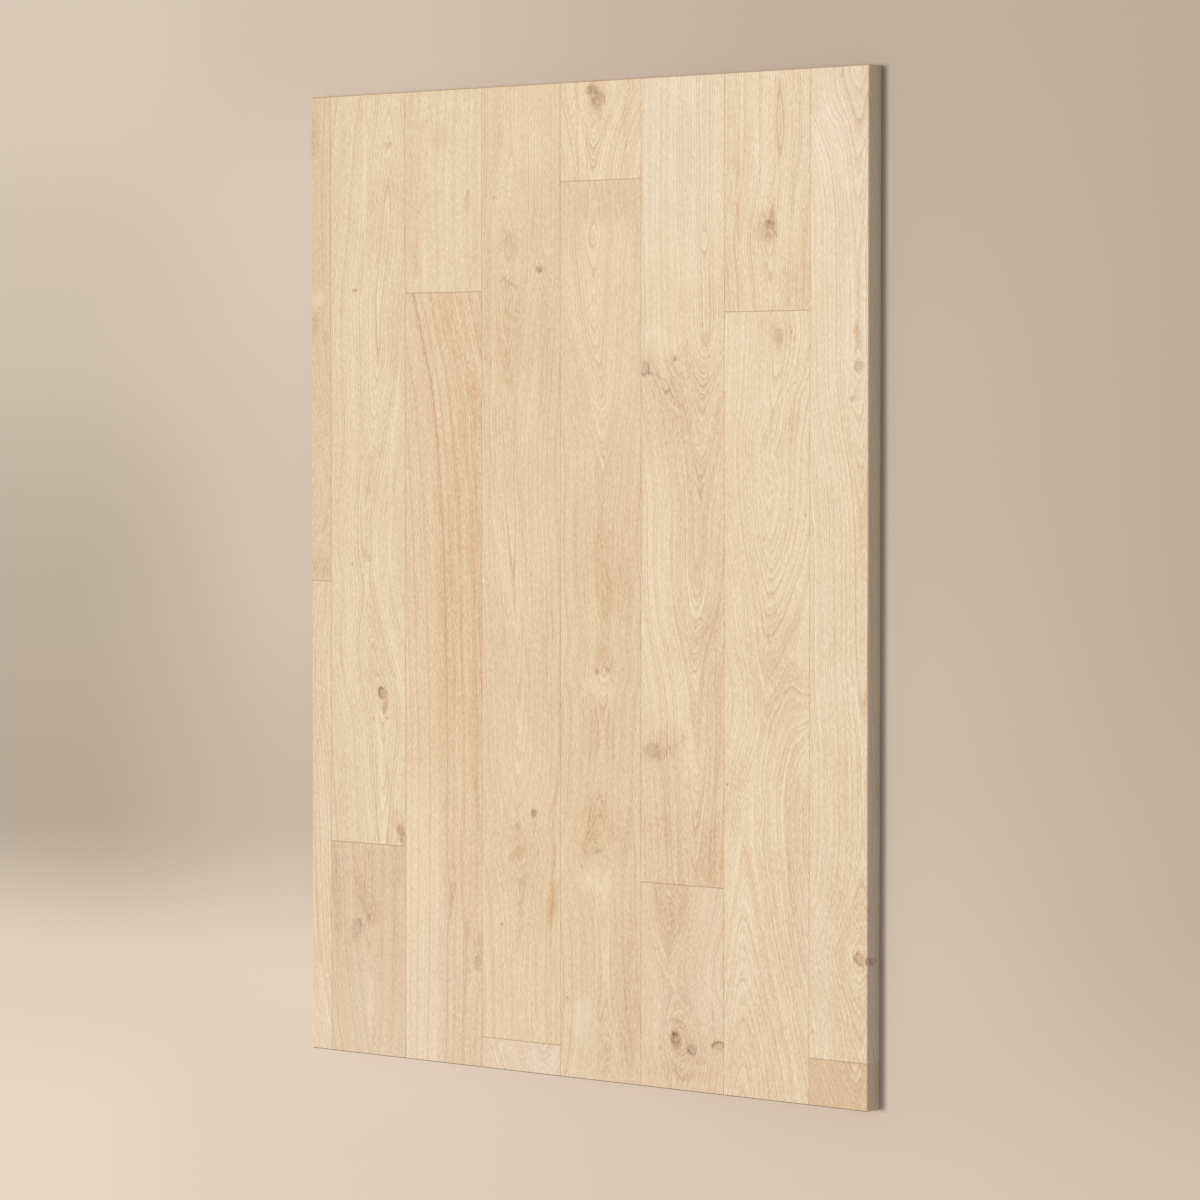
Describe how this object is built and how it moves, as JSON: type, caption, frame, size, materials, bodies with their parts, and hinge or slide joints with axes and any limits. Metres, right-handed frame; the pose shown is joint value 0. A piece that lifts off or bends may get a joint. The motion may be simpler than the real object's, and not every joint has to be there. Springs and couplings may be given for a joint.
{
  "type": "parquet plank panel",
  "caption": "Rectangular panel of solid oak parquet planks, tongued and grooved along their edges and ends, laid in rows with staggered end joints.",
  "frame": {"origin": "middle of the back, the face that the panel lies on", "axes": "+Z out of the walked-on face, +Y along the planks towards the head end, +X across the rows from the first to the last"},
  "size_m": [0.832, 1.11, 0.022],
  "materials": {
    "oak": "pale matt-oiled oak, sanded, with small knots"
  },
  "bodies": {
    "root": {"row1_head_plank": "oak", "row1_foot_plank": "oak", "row2_head_plank": "oak", "row2_foot_plank": "oak", "row3_head_plank": "oak", "row3_foot_plank": "oak", "row4_head_plank": "oak", "row4_foot_plank": "oak", "row5_head_plank": "oak", "row5_foot_plank": "oak", "row6_head_plank": "oak", "row6_foot_plank": "oak", "row7_head_plank": "oak", "row7_foot_plank": "oak", "row8_head_plank": "oak", "row8_foot_plank": "oak"}
  },
  "joints": []
}
